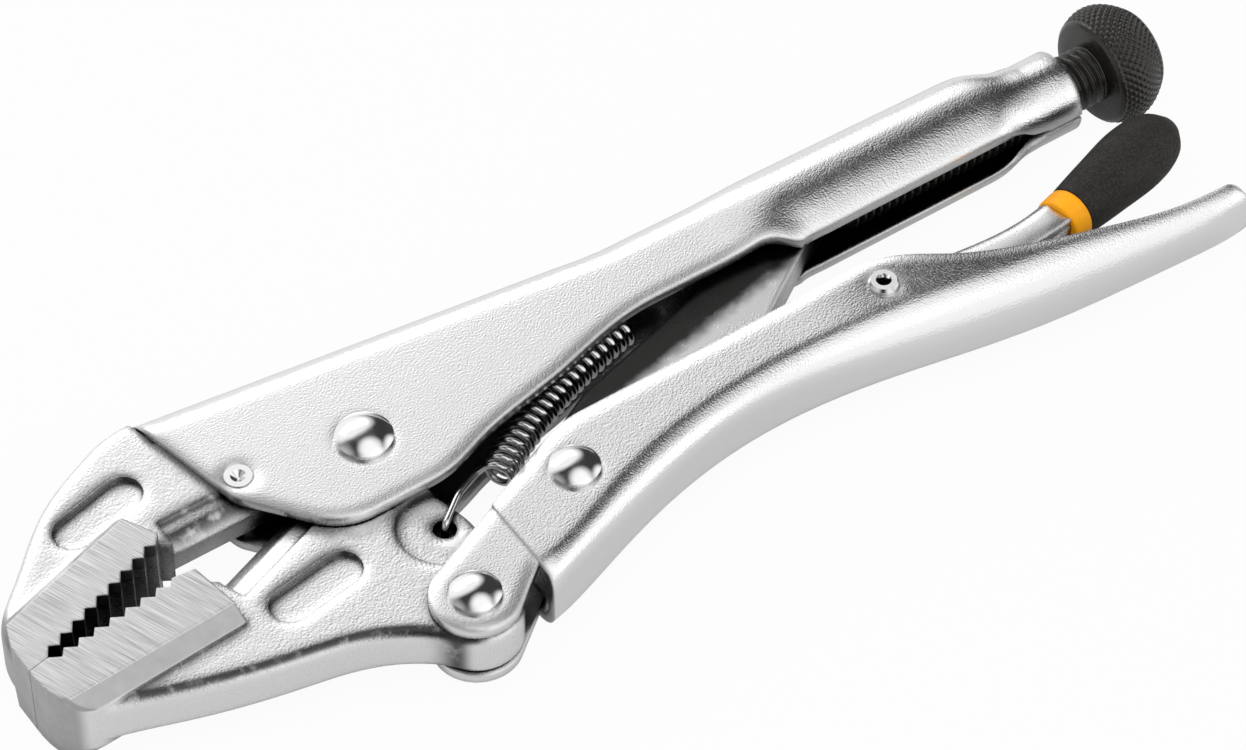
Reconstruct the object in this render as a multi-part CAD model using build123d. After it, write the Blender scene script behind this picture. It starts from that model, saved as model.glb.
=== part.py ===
from build123d import *

import math
import os

# Locking pliers lying on their side, in millimetres.
# Every piece is drawn about the main pivot: X runs back along the screw, Y runs
# across towards the fixed handle's spine, and Z is the thickness of the tool.
# The finished tool is then set down on its base, centred over the origin.

# Sheet, forgings and running fits
SHEET = 2.0
CHEEK_OUTER = 7.0
NOSE_HALF = 8.0
JAW_SIDE_GAP = 0.3
PIVOT_GAP = 0.06
SCREW_GAP = 0.25
BOSS_GAP = 0.35
LINK_SIDE_GAP = 0.4
TRIM = 0.4
CHEEK_INNER = CHEEK_OUTER - SHEET
JAW_WEB = CHEEK_INNER - JAW_SIDE_GAP

# Pivots
JAW_PIVOT = Vector(0, 0)
HANDLE_PIVOT = Vector(-3.1, -39.5)
TOGGLE_PIVOT = Vector(25.7, -26.7)
RELEASE_PIVOT = Vector(94.1, -22.6)
SCREW_Y = 3.6
LINK_END = Vector(95.0, SCREW_Y)

# Rivets: shank radius, head radius and head height
JAW_RIVET = (4.0, 5.15, 2.6)
SMALL_RIVET = (3.2, 4.5, 2.3)
RIVET_RIM = 0.8
PIN_AT = Vector(-22.4, 4.9)
PIN_R = 2.5
PIN_PROUD = 0.15
PIN_DIMPLE_R = 1.4
PIN_DIMPLE_DEPTH = 0.8
RELEASE_PIN_R = 2.1
RELEASE_PIN_BORE_R = 1.1
RELEASE_PIN_HEAD_R = 2.7
RELEASE_PIN_HEAD = 1.3

# Fixed handle, side view
PLATE_FRONT_TOP = Vector(-31.5, 30.0)
PLATE_FRONT_LOW = Vector(-25.3, 1.4)
PLATE_CHIN = Vector(-13.0, -14.4)
PLATE_FRONT_ROUND = 6.0
PLATE_CHIN_ROUND = 12.0
PLATE_WAIST = (Vector(16.4, -11.2), Vector(36.3, -6.3))
PLATE_REAR = Vector(60.0, -1.4)
PLATE_END_X = 82.0

# Fixed handle, sections: spine heights, C section behind and tube at the tail
FRONT_X = -32.0
FRONT_CROWN_TOP = 28.2
SLOPE_END_X = 58.0
SLOPE_END_TOP = 16.5
SLOPE_BLEND = 9.0
CHEEK_LOW = -16.0
JOGGLE_FROM_X = 75.0
JOGGLE_TO_X = 91.0
REAR_CROWN_TOP = 15.0
REAR_R = 9.0
LIP_Y = -4.2
LIP_HALF_GAP = 3.75
NECK_FROM_X = 134.0
NECK_TO_X = 146.0
TUBE_END_X = 153.2
SCREW_R = 5.6
SEAM_HALF_GAP = 0.4
TUBE_BORE_R = SCREW_R + SCREW_GAP
TUBE_R = TUBE_BORE_R + SHEET
QUARTER_ARC = 0.5523
SECTION_STEP = 3.2

# Tongue in the channel that carries the spring's rear hook
TONGUE_X = 66.0
TONGUE_LOW_Y = 3.4
TONGUE_HALF = 1.5
TONGUE_WINDOW = 9.0
TONGUE_WINDOW_HALF = 1.8

# Both jaws
NOSE_X = -73.3
LAND_FRONT_Y = -12.1
LAND_REAR = Vector(NOSE_X + 4.0, -11.3)
LAND_HALF_GAP = 0.06
TOOTH_PITCH = 3.22
TOOTH_DEPTH = 1.4
TOOTH_ROOT_SHARE = 0.6
HEEL_LAND_SHARE = 0.5
PIVOT_BOSS_R = 9.5
JAW_EDGE_ROUND = 1.8
THROAT_LEDGE = 5.0
THROAT_LEDGE_DROP = 0.9
THROAT_EDGE_HALF = 2.0
THROAT_BEVEL = 2.6
OVAL_LENGTH = 11.5
OVAL_WIDTH = 7.4
OVAL_DEPTH = 1.2

# Upper jaw
UPPER_TOOTH_ANGLE = 21.0
UPPER_NOSE_BEVEL = 1.6
UPPER_NOSE_FRONT = Vector(NOSE_X + 2.3, 0.3)
UPPER_NOSE_REAR = Vector(-44.6, 8.7)
UPPER_HEEL = Vector(-40.6, 1.2)
UPPER_THROAT = Vector(-38.6, 0.0)
UPPER_BACK_START_Y = -6.0
UPPER_BACK = (Vector(NOSE_X + 8.5, 8.4), Vector(-52.4, 19.7), Vector(-41.0, 25.6))
UPPER_BACK_END_SLOPE = 0.02
BACK_DROP = 0.4
TANG_END_X = 6.0
TANG_GAP = 0.3
UPPER_OVAL = (Vector(-45.6, 13.0), 13.5)

# Lower jaw
LOWER_TOOTH_ANGLE = 6.4
LOWER_NOSE_BEVEL = 2.9
LOWER_CHIN = Vector(NOSE_X + 6.4, -23.4)
LOWER_CHIN_SLOPE = (1, -0.25)
LOWER_NOSE_REAR = Vector(-37.2, -21.6)
LOWER_HEEL = Vector(-39.4, -9.0)
LOWER_THROAT = Vector(-36.4, -11.3)
LOWER_THROAT_JOIN_Y = -1.2
LOWER_KEEL = (Vector(-50.7, -28.6), Vector(-34.0, -32.9), Vector(-18.8, -37.2))
LOWER_KEEL_ANGLE = 215.0
LOWER_TAIL = (Vector(6.0, -21.8), Vector(4.4, -14.8))
LOWER_TAIL_ANGLE = -45.0
HANDLE_BOSS_R = 8.2
LOWER_OVAL = (Vector(-23.4, -21.4), 8.5)
SPRING_HOLE = Vector(1.8, -22.4)
SPRING_HOLE_R = 2.1
SPRING_POCKET_R = 8.6
SPRING_POCKET_DEPTH = 1.3

# Moving handle: stations of the spine, from the ears to the tip of the trough.
# Each is X, the spine's outer Y and the corner radius.
MOVING_STATIONS = (
    (9.5, -44.4, 5.0),
    (28.0, -38.2, 5.0),
    (48.0, -32.4, 5.0),
    (71.0, -30.8, 5.4),
    (91.0, -34.0, 7.0),
    (111.0, -38.1, 7.6),
    (131.0, -40.4, 7.6),
    (150.0, -41.4, 7.4),
    (170.0, -38.6, 7.0),
)
MOVING_HALF = 7.8
MOVING_WALL_TOP = -14.0
MOVING_EDGE_Y = -16.6
MOVING_EDGE_ROUND = 20.0
MOVING_EDGE_END_X = 92.0
MOVING_EDGE_FALL = (Vector(108.3, -23.4), Vector(125.0, -30.7), Vector(143.8, -36.0))
MOVING_TIP_X = 164.2
MOVING_TIP_Y = -37.6
MOVING_TIP_ROUND = 9.0
EAR_R = 8.0
EAR_EDGE_ANGLE = 23.4
EAR_FOOT = Vector(11.5, -38.2)
EAR_TOE_ANGLE = -50.0

# Toggle link
LINK_HALF = 3.0
LINK_HUB_R = 6.8
LINK_NOSE_R = 4.5
LINK_LOBE = (Vector(56.0, -23.2), Vector(72.0, -20.2), Vector(76.2, -13.4), Vector(91.0, -3.6))
LINK_LOBE_ROUND = 3.0
LINK_TOP = (Vector(28.5, -15.4), Vector(38.5, -10.3), Vector(52.0, -6.6), Vector(66.7, -2.7))

# Release lever, its band and grip
LEVER_HALF = 4.0
LEVER_WALL = 1.6
LEVER_TOP_ROUND = 2.6
LEVER_TOP = (Vector(69.5, -23.7), Vector(88.0, -19.4), Vector(104.0, -18.9), Vector(120.0, -20.4))
LEVER_BOTTOM = (Vector(118.0, -27.8), Vector(98.0, -27.6), Vector(84.0, -27.0), Vector(70.0, -26.6))
LEVER_TAIL_TOP = 4.2
LEVER_TAIL_LOW = 3.0
GRIP_START = Vector(132.6, -23.4)
GRIP_ANGLE = 14.0
TANG_HALF = 2.4
TANG_HALF_HEIGHT = 3.2
TANG_ROOT = 5.0
TANG_LENGTH = 22.0
BAND_WIDTH = 4.2
GRIP_LENGTH = 29.0
GRIP_SECTIONS = ((0.0, 5.0, 5.3), (0.3, 5.9, 5.8), (0.65, 6.6, 6.0), (0.88, 5.2, 4.8), (1.0, 2.2, 2.0))

# Adjusting screw and knob
SCREW_TIP_GAP = 2.3
SCREW_TIP_CHAMFER = 1.6
KNOB_FRONT_X = 161.0
KNOB_LENGTH = 11.4
KNOB_R = 11.5
KNOB_FRONT_CROWN = 1.2
KNOB_REAR_CROWN = 2.9
KNOB_SWELL_SHARE = 0.4
KNOB_FRONT_SLOPE = (1, 0.5)
KNOB_REAR_SLOPE = (1, -0.9)
KNOB_CHAMFER = 0.8
KNOB_FACE_GAP = 0.1
SPIGOT_R = 3.0
SPIGOT_LENGTH = 6.5

# Return spring
WIRE_R = 0.65
WIRE_SIDES = 6
COIL_R = 2.65
COIL_LOOPS = 20
COIL_PITCH = 2.06
COIL_START = Vector(16.85, -15.16)
COIL_START_ANGLE = 33.0
COIL_BOW_R = 114.0
COIL_FIRST = 60.0
COIL_LAST = 90.0
HOOK_BEND = 1.4
HOOK_REACH = 2.3
HOOK_RISE = 0.95
HOOK_LEVEL = 0.45
HOOK_DEPTH = 5.4
HOOK_GAP = 0.35


def smooth_share(x, start, end):
    """0 before start, 1 after end and a smooth step between."""
    share = min(max((x - start) / (end - start), 0.0), 1.0)
    return share * share * (3 - 2 * share)


def mix(a, b, share):
    return a + (b - a) * share


def direction(angle):
    return Vector(math.cos(math.radians(angle)), math.sin(math.radians(angle)))


def left_of(vector):
    return Vector(-vector.Y, vector.X)


def plan_face(*lines):
    return make_face([edge for line in lines for edge in line.edges()])


def across(x):
    """Section plane at x: its own X is the tool's Y and its own Y the tool's Z."""
    return Plane(origin=(x, 0, 0), x_dir=(0, 1, 0), z_dir=(1, 0, 0))


def slab(face, low, high):
    """A plan face as a plate between two heights."""
    return Pos(0, 0, low) * extrude(face, amount=high - low)


def core(face, half):
    """A plan face as a plate of half thickness on each side of the middle."""
    return slab(face, -half, half)


def with_mirror(solid):
    return solid + mirror(solid, about=Plane.XY)


def round_bar(point, radius, half):
    return Pos(point.X, point.Y, 0) * Cylinder(radius, 2 * half)


# Fixed handle


def crown_top(x):
    """Height of the spine: a falling front, a flat back and the drop to the tube."""
    slope = (SLOPE_END_TOP - FRONT_CROWN_TOP) / (SLOPE_END_X - FRONT_X)
    front = FRONT_CROWN_TOP + slope * (x - FRONT_X)
    rear = mix(SLOPE_END_TOP, REAR_CROWN_TOP, (x - SLOPE_END_X) / (NECK_FROM_X - SLOPE_END_X))
    spine = mix(front, rear, smooth_share(x, SLOPE_END_X - SLOPE_BLEND, SLOPE_END_X + SLOPE_BLEND))
    return mix(spine, SCREW_Y + TUBE_R, smooth_share(x, NECK_FROM_X, NECK_TO_X))


def crown_radius(x):
    rear = mix(CHEEK_OUTER, REAR_R, smooth_share(x, JOGGLE_FROM_X, JOGGLE_TO_X))
    return mix(rear, TUBE_R, smooth_share(x, NECK_FROM_X, NECK_TO_X))


def wall_curve(crown, lip, curl):
    """Wall from the crown's end down to a lip: leaning when curl is 0, rolled round when it is 1."""
    corner = Vector(mix(crown.X, lip.X, QUARTER_ARC), crown.Y)
    lean = (mix(crown, corner, 2 / 3), mix(lip, corner, 2 / 3))
    rolled = (corner, Vector(lip.X, mix(lip.Y, crown.Y, QUARTER_ARC)))
    return Bezier(crown, mix(lean[0], rolled[0], curl), mix(lean[1], rolled[1], curl), lip)


def channel_section(x):
    """Sheet section of the fixed handle: deep U in front, C behind, seamed tube at the tail."""
    joggle = smooth_share(x, JOGGLE_FROM_X, JOGGLE_TO_X)
    roll = smooth_share(x, NECK_FROM_X, NECK_TO_X)
    outer_r = crown_radius(x)
    inner_r = outer_r - SHEET
    crown_y = crown_top(x) - outer_r
    lip_y = mix(mix(CHEEK_LOW, LIP_Y, joggle), SCREW_Y - TUBE_R, roll)
    gap = mix(mix(CHEEK_INNER, LIP_HALF_GAP, joggle), SEAM_HALF_GAP, roll)
    outer_lip = Vector(lip_y, gap + SHEET * (1 - roll))
    inner_lip = Vector(lip_y + SHEET * roll, gap)
    outer = wall_curve(Vector(crown_y, outer_r), outer_lip, roll)
    inner = wall_curve(Vector(crown_y, inner_r), inner_lip, roll)
    lip = Line(inner_lip, outer_lip)
    walls = [outer, inner, lip]
    crowns = [ThreePointArc((crown_y, r), (crown_y + r, 0), (crown_y, -r)) for r in (outer_r, inner_r)]
    return across(x) * plan_face(*walls, *[mirror(wall, about=Plane.XZ) for wall in walls], *crowns)


def handle_outline():
    """Side view of the fixed handle: slanted front edge, round chin, waisted lower edge."""
    chin_line = FilletPolyline(
        PLATE_FRONT_TOP,
        PLATE_FRONT_LOW,
        PLATE_CHIN,
        Vector(PLATE_WAIST[0].X - PLATE_CHIN_ROUND, PLATE_CHIN.Y),
        radius=(PLATE_FRONT_ROUND, PLATE_CHIN_ROUND),
    )
    waist = Spline(chin_line @ 1, *PLATE_WAIST, PLATE_REAR, tangents=((1, 0), (1, 0)))
    plate_end = Vector(PLATE_END_X, PLATE_REAR.Y)
    lip_start = Vector(JOGGLE_TO_X, LIP_Y - TRIM)
    joggle = Spline(plate_end, lip_start, tangents=((1, 0), (1, 0)))
    tail = Vector(TUBE_END_X + TRIM, lip_start.Y)
    corner = Vector(tail.X, PLATE_FRONT_TOP.Y)
    rest = Polyline(lip_start, tail, corner, PLATE_FRONT_TOP)
    return plan_face(chin_line, waist, Line(PLATE_REAR, plate_end), joggle, rest)


def fixed_handle():
    bend_x = SLOPE_END_X - SLOPE_BLEND
    steps = round((NECK_TO_X - bend_x) / SECTION_STEP)
    stations = [mix(bend_x, NECK_TO_X, step / steps) for step in range(steps + 1)]
    shell = loft([channel_section(FRONT_X), channel_section(bend_x)], ruled=True)
    shell += loft([channel_section(x) for x in stations])
    shell += extrude(channel_section(NECK_TO_X), amount=TUBE_END_X - NECK_TO_X)
    shell &= core(handle_outline(), NOSE_HALF + REAR_R)
    window_x = TONGUE_X + TONGUE_WINDOW / 2
    spine_y = crown_top(window_x)
    window = Pos(window_x, spine_y, 0) * Box(TONGUE_WINDOW, 3 * SHEET, 2 * TONGUE_WINDOW_HALF)
    tongue_top = crown_top(TONGUE_X) - SHEET / 2
    tongue_height = tongue_top - TONGUE_LOW_Y
    tongue = Pos(TONGUE_X - SHEET / 2, TONGUE_LOW_Y + tongue_height / 2, 0) * Box(
        SHEET, tongue_height, 2 * TONGUE_HALF
    )
    shell = shell - window + tongue
    shell -= round_bar(JAW_PIVOT, JAW_RIVET[0], CHEEK_OUTER + SHEET)
    return shell - round_bar(PIN_AT, PIN_R, CHEEK_OUTER + SHEET)


# Jaws


def tooth_line(start, angle, heel, side):
    """Tips and roots of a row of teeth, from the front; side is +1 for roots above the tips."""
    along = direction(angle)
    count = int((heel.X - start.X) / (TOOTH_PITCH * along.X) - HEEL_LAND_SHARE)
    up = left_of(along) * side
    points = []
    for tooth in range(count):
        points.append(start + along * (TOOTH_PITCH * tooth))
        points.append(start + along * (TOOTH_PITCH * (tooth + TOOTH_ROOT_SHARE)) + up * TOOTH_DEPTH)
    points.append(start + along * (TOOTH_PITCH * count))
    return points


def throat_cut(start, end, web):
    """Ledge and sharpened edge along the throat, which lies to the right of the line from start to end."""
    along = (end - start).normalized()
    ledge = web - THROAT_LEDGE_DROP
    plane = Plane(origin=start, x_dir=left_of(along), z_dir=along)
    section = Polyline(
        (-TRIM, THROAT_EDGE_HALF),
        (0, THROAT_EDGE_HALF),
        (THROAT_BEVEL, ledge),
        (THROAT_LEDGE, ledge),
        (THROAT_LEDGE + THROAT_LEDGE_DROP, web + TRIM),
        (-TRIM, web + TRIM),
        close=True,
    )
    return with_mirror(extrude(plane * plan_face(section), amount=(end - start).length))


def oval_cut(oval, web):
    """Shallow oval panel on the near side of a jaw."""
    centre, angle = oval
    slot = Pos(centre.X, centre.Y) * Rot(0, 0, angle) * SlotCenterToCenter(OVAL_LENGTH, OVAL_WIDTH)
    return slab(slot, web - OVAL_DEPTH, web + TRIM)


def nose_edges(block, line_start, line_end):
    """Edges of a nose block's two flat faces that lie along one side of its outline."""
    along = (line_end - line_start).normalized()
    return [
        edge
        for edge in block.edges()
        if abs(abs((edge @ 0.5).Z) - NOSE_HALF) < 1e-3
        and abs(along.cross((edge @ 0.5) - line_start).Z) < 1e-2
        and abs((edge % 0.5).dot(along)) > 0.99
    ]


def rim_edges(web_solid, curve, half):
    """Edges of a jaw's web that follow a stretch of its outline on both flat sides."""
    rims = [curve @ 0.5 + Vector(0, 0, side * half) for side in (-1, 1)]
    return [edge for edge in web_solid.edges() if min((edge @ 0.5 - rim).length for rim in rims) < 1e-2]


def upper_jaw():
    land = Vector(LAND_REAR.X, LAND_REAR.Y + LAND_HALF_GAP)
    tip = Vector(NOSE_X, LAND_FRONT_Y + LAND_HALF_GAP)
    teeth = [tip, *tooth_line(land, UPPER_TOOTH_ANGLE, UPPER_HEEL, 1), UPPER_HEEL]
    clear_r = PIVOT_BOSS_R + BOSS_GAP
    edge_slope = (PLATE_FRONT_LOW.X - PLATE_FRONT_TOP.X) / (PLATE_FRONT_LOW.Y - PLATE_FRONT_TOP.Y)

    def shoulder(y):
        """Point just in front of the handle's slanted front edge."""
        return Vector(PLATE_FRONT_TOP.X - TANG_GAP + edge_slope * (y - PLATE_FRONT_TOP.Y), y)

    def tang_top(x):
        return crown_top(x) - CHEEK_OUTER - TANG_GAP

    back_end = shoulder(crown_top(FRONT_X) - BACK_DROP)
    tang_end = Vector(TANG_END_X, tang_top(TANG_END_X))
    arc_end = Vector(TANG_END_X, math.sqrt(clear_r**2 - TANG_END_X**2))
    arc_start = Vector(-math.sqrt(clear_r**2 - UPPER_THROAT.Y**2), UPPER_THROAT.Y)
    back_start = Vector(NOSE_X, UPPER_BACK_START_Y)
    back = Spline(back_start, *UPPER_BACK, back_end, tangents=((0, 1), (1, UPPER_BACK_END_SLOPE)))
    outline = plan_face(
        Polyline(UPPER_THROAT, *teeth[::-1], back_start),
        back,
        Polyline(back_end, shoulder(tang_top(FRONT_X)), tang_end, arc_end),
        ThreePointArc(arc_end, direction(120) * clear_r, arc_start),
        Line(arc_start, UPPER_THROAT),
    )
    web = core(outline, CHEEK_INNER)
    web = fillet(rim_edges(web, back, CHEEK_INNER), JAW_EDGE_ROUND)
    nose_line = Polyline(*teeth, UPPER_NOSE_REAR, UPPER_NOSE_FRONT, back_start, close=True)
    nose = core(plan_face(nose_line), NOSE_HALF)
    nose = chamfer(nose_edges(nose, UPPER_NOSE_FRONT, UPPER_NOSE_REAR), UPPER_NOSE_BEVEL)
    jaw = web - throat_cut(UPPER_THROAT, arc_start, CHEEK_INNER) + nose
    return jaw - oval_cut(UPPER_OVAL, CHEEK_INNER) - round_bar(PIN_AT, PIN_R, NOSE_HALF)


def lower_jaw():
    land = Vector(LAND_REAR.X, LAND_REAR.Y - LAND_HALF_GAP)
    tip = Vector(NOSE_X, LAND_FRONT_Y - LAND_HALF_GAP)
    teeth = [tip, *tooth_line(land, LOWER_TOOTH_ANGLE, LOWER_HEEL, -1), LOWER_HEEL]
    throat_join = Vector(-math.sqrt(PIVOT_BOSS_R**2 - LOWER_THROAT_JOIN_Y**2), LOWER_THROAT_JOIN_Y)
    tail_top = direction(LOWER_TAIL_ANGLE) * PIVOT_BOSS_R
    keel_end = HANDLE_PIVOT + direction(LOWER_KEEL_ANGLE) * HANDLE_BOSS_R
    tail_end = HANDLE_PIVOT + Vector(HANDLE_BOSS_R, 0)
    boss_low = HANDLE_PIVOT - Vector(0, HANDLE_BOSS_R)
    keel = Spline(
        LOWER_CHIN, *LOWER_KEEL, keel_end, tangents=(LOWER_CHIN_SLOPE, left_of(direction(LOWER_KEEL_ANGLE)))
    )
    tail = Spline(tail_end, *LOWER_TAIL, tail_top, tangents=((0, 1), left_of(direction(LOWER_TAIL_ANGLE))))
    front = Spline(tip, LOWER_CHIN, tangents=((0, -1), LOWER_CHIN_SLOPE))
    outline = plan_face(
        Polyline(LOWER_THROAT, *teeth[::-1]),
        front,
        keel,
        ThreePointArc(keel_end, boss_low, tail_end),
        tail,
        ThreePointArc(tail_top, direction(60) * PIVOT_BOSS_R, throat_join),
        Line(throat_join, LOWER_THROAT),
    )
    web = core(outline, JAW_WEB)
    web = fillet(rim_edges(web, keel, JAW_WEB), JAW_EDGE_ROUND)
    nose = core(plan_face(Polyline(*teeth, LOWER_NOSE_REAR, LOWER_CHIN), front), NOSE_HALF)
    nose = chamfer(nose_edges(nose, LOWER_CHIN, LOWER_NOSE_REAR), LOWER_NOSE_BEVEL)
    pocket_face = Pos(SPRING_HOLE.X, SPRING_HOLE.Y) * Circle(SPRING_POCKET_R)
    jaw = web - throat_cut(throat_join, LOWER_THROAT, JAW_WEB) + nose
    jaw -= oval_cut(LOWER_OVAL, JAW_WEB)
    jaw -= slab(pocket_face, JAW_WEB - SPRING_POCKET_DEPTH, JAW_WEB + TRIM)
    jaw -= round_bar(SPRING_HOLE, SPRING_HOLE_R, NOSE_HALF)
    jaw -= round_bar(JAW_PIVOT, JAW_RIVET[0] + PIVOT_GAP, NOSE_HALF)
    return jaw - round_bar(HANDLE_PIVOT, SMALL_RIVET[0] + PIVOT_GAP, NOSE_HALF)


# Rivets and pins


def rivet(point, size, seat):
    """Shank with a low dome on each side, seated at seat above and below the middle."""
    shank_r, head_r, head_height = size
    half = plan_face(
        Polyline((0, 0), (shank_r, 0), (shank_r, seat), (head_r, seat), (head_r, seat + RIVET_RIM)),
        TangentArc((0, seat + head_height), (head_r, seat + RIVET_RIM), tangent=(1, 0)),
        Line((0, seat + head_height), (0, 0)),
    )
    return Pos(point.X, point.Y, 0) * with_mirror(revolve(Plane.XZ * half, Axis.Z))


def upper_jaw_pin():
    half = CHEEK_OUTER + PIN_PROUD
    dimple = Pos(0, 0, half - PIN_DIMPLE_DEPTH / 2) * Cone(0.2 * PIN_DIMPLE_R, PIN_DIMPLE_R, PIN_DIMPLE_DEPTH)
    return Pos(PIN_AT.X, PIN_AT.Y, 0) * (Cylinder(PIN_R, 2 * half) - with_mirror(dimple))


def release_pin():
    """Tubular rivet: the ends are rolled over into round rims."""
    seat = MOVING_HALF
    top = seat + RELEASE_PIN_HEAD
    roll = RELEASE_PIN_HEAD / 2
    half = plan_face(
        Polyline(
            (RELEASE_PIN_BORE_R, 0),
            (RELEASE_PIN_R, 0),
            (RELEASE_PIN_R, seat),
            (RELEASE_PIN_HEAD_R, seat),
            (RELEASE_PIN_HEAD_R, top - roll),
            (RELEASE_PIN_HEAD_R - roll / 2, top),
            (RELEASE_PIN_BORE_R + roll / 2, top),
            (RELEASE_PIN_BORE_R, top - roll),
            close=True,
        )
    )
    return Pos(RELEASE_PIVOT.X, RELEASE_PIVOT.Y, 0) * with_mirror(revolve(Plane.XZ * half, Axis.Z))


# Moving handle


def trough_section(x, spine_y, corner_r):
    """Sheet section of the moving handle: a U with round corners, open towards the fixed handle."""
    centre = Vector(spine_y + corner_r, MOVING_HALF - corner_r)
    slant = direction(135)
    sides = []
    for inset in (0, SHEET):
        wall_top = Vector(MOVING_WALL_TOP, MOVING_HALF - inset)
        wall_low = Vector(centre.X, MOVING_HALF - inset)
        floor_end = Vector(spine_y + inset, centre.Y)
        sides.append(Line(wall_top, wall_low))
        sides.append(ThreePointArc(wall_low, centre + slant * (corner_r - inset), floor_end))
    sides.append(Line((MOVING_WALL_TOP, MOVING_HALF), (MOVING_WALL_TOP, MOVING_HALF - SHEET)))
    floors = [Line((spine_y + inset, centre.Y), (spine_y + inset, -centre.Y)) for inset in (0, SHEET)]
    return across(x) * plan_face(*sides, *[mirror(side, about=Plane.XZ) for side in sides], *floors)


def moving_handle():
    along = direction(EAR_EDGE_ANGLE)
    edge_start = HANDLE_PIVOT + left_of(along) * EAR_R
    corner = edge_start + along * ((MOVING_EDGE_Y - edge_start.Y) / along.Y)
    edge_end = Vector(MOVING_EDGE_END_X, MOVING_EDGE_Y)
    tip = Vector(MOVING_TIP_X + TRIM, MOVING_TIP_Y)
    low_y = HANDLE_PIVOT.Y - EAR_R - SHEET
    outline = plan_face(
        FilletPolyline(edge_start, corner, edge_end, radius=MOVING_EDGE_ROUND),
        Spline(edge_end, *MOVING_EDGE_FALL, tip, tangents=((1, 0), (1, 0))),
        Polyline(tip, (tip.X, low_y), (edge_start.X, low_y), edge_start),
    )
    shell = loft([trough_section(*station) for station in MOVING_STATIONS])
    shell &= core(outline, NOSE_HALF + SHEET)
    end_x = MOVING_TIP_X - MOVING_TIP_ROUND
    half = MOVING_HALF + TRIM
    tip_face = Pos(end_x / 2, 0) * Rectangle(end_x, 2 * half) + Pos(end_x, 0) * Ellipse(MOVING_TIP_ROUND, half)
    shell &= extrude(Plane.XZ * tip_face, amount=-low_y + SHEET, both=True)
    edge_foot = edge_start + along * ((EAR_FOOT.X - edge_start.X) / along.X)
    toe = HANDLE_PIVOT + direction(EAR_TOE_ANGLE) * EAR_R
    ear_face = plan_face(Polyline(edge_start, edge_foot, EAR_FOOT, toe, HANDLE_PIVOT, close=True))
    ear_face += Pos(HANDLE_PIVOT.X, HANDLE_PIVOT.Y) * Circle(EAR_R)
    shell += with_mirror(slab(ear_face, CHEEK_INNER, CHEEK_OUTER))
    reach = NOSE_HALF + SHEET
    shell -= round_bar(HANDLE_PIVOT, SMALL_RIVET[0], reach)
    shell -= round_bar(TOGGLE_PIVOT, SMALL_RIVET[0], reach)
    return shell - round_bar(RELEASE_PIVOT, RELEASE_PIN_R, reach)


# Toggle link and release lever


def toggle_link():
    up = left_of((LINK_END - TOGGLE_PIVOT).normalized())
    hub_top = TOGGLE_PIVOT + up * LINK_HUB_R
    hub_low = TOGGLE_PIVOT - up * LINK_HUB_R
    nose_top = LINK_END + up * LINK_NOSE_R
    nose_low = LINK_END - up * LINK_NOSE_R
    face = plan_face(
        Line(hub_low, hub_top),
        FilletPolyline(hub_top, *LINK_TOP, nose_top, radius=LINK_LOBE_ROUND),
        Line(nose_top, nose_low),
        FilletPolyline(nose_low, *LINK_LOBE[::-1], hub_low, radius=LINK_LOBE_ROUND),
    )
    face += Pos(TOGGLE_PIVOT.X, TOGGLE_PIVOT.Y) * Circle(LINK_HUB_R)
    face += Pos(LINK_END.X, LINK_END.Y) * Circle(LINK_NOSE_R)
    hub_half = MOVING_HALF - SHEET - LINK_SIDE_GAP
    link = core(face, LINK_HALF) + round_bar(TOGGLE_PIVOT, LINK_HUB_R, hub_half)
    return link - round_bar(TOGGLE_PIVOT, SMALL_RIVET[0] + PIVOT_GAP, NOSE_HALF)


def grip_plane(distance):
    """Plane square to the lever's tail: its own X points away from the moving handle."""
    along = direction(GRIP_ANGLE)
    return Plane(origin=GRIP_START + along * distance, x_dir=left_of(along), z_dir=along)


def lever_tang(clear=0.0):
    """Flat bar that carries the band and the grip."""
    bar = Rectangle(2 * (TANG_HALF_HEIGHT + clear), 2 * (TANG_HALF + clear))
    return extrude(grip_plane(-TANG_ROOT) * bar, amount=TANG_ROOT + TANG_LENGTH + clear)


def release_lever():
    """Pressed U section lever, open towards the moving handle."""
    up = left_of(direction(GRIP_ANGLE))
    tail_top = GRIP_START + up * LEVER_TAIL_TOP
    tail_low = GRIP_START - up * LEVER_TAIL_LOW
    top = Spline(*LEVER_TOP, tail_top)
    low = Spline(tail_low, *LEVER_BOTTOM)
    face = plan_face(top, Line(tail_top, tail_low), low, Line(LEVER_BOTTOM[-1], LEVER_TOP[0]))
    solid = core(face, LEVER_HALF)
    crown = [edge for edge in solid.edges() if ((edge @ 0.5) - (top @ 0.5)).length < LEVER_HALF + TRIM]
    solid = fillet([edge for edge in crown if abs((edge @ 0.5).Z) > LEVER_HALF / 2], LEVER_TOP_ROUND)
    hollow = core(Pos(0, -LEVER_WALL) * face, LEVER_HALF - LEVER_WALL)
    hollow -= Pos(GRIP_START.X, GRIP_START.Y, 0) * Box(2 * TANG_ROOT, 4 * LEVER_TAIL_TOP, 4 * LEVER_HALF)
    solid = solid - hollow + lever_tang()
    return solid - round_bar(RELEASE_PIVOT, RELEASE_PIN_R + PIVOT_GAP, NOSE_HALF)


def release_band():
    half_height, half_thickness = GRIP_SECTIONS[0][1:]
    ring = extrude(grip_plane(0) * Ellipse(half_height, half_thickness), amount=BAND_WIDTH)
    return ring - lever_tang()


def release_grip():
    sections = [
        grip_plane(BAND_WIDTH + share * GRIP_LENGTH) * Ellipse(half_height, half_thickness)
        for share, half_height, half_thickness in GRIP_SECTIONS
    ]
    return loft(sections) - lever_tang()


# Adjusting screw


def turned(*lines):
    """Half profile in X and radius, turned about the screw's axis."""
    axis = Axis((0, SCREW_Y, 0), (1, 0, 0))
    return revolve(Pos(0, SCREW_Y) * plan_face(*lines), axis)


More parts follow.
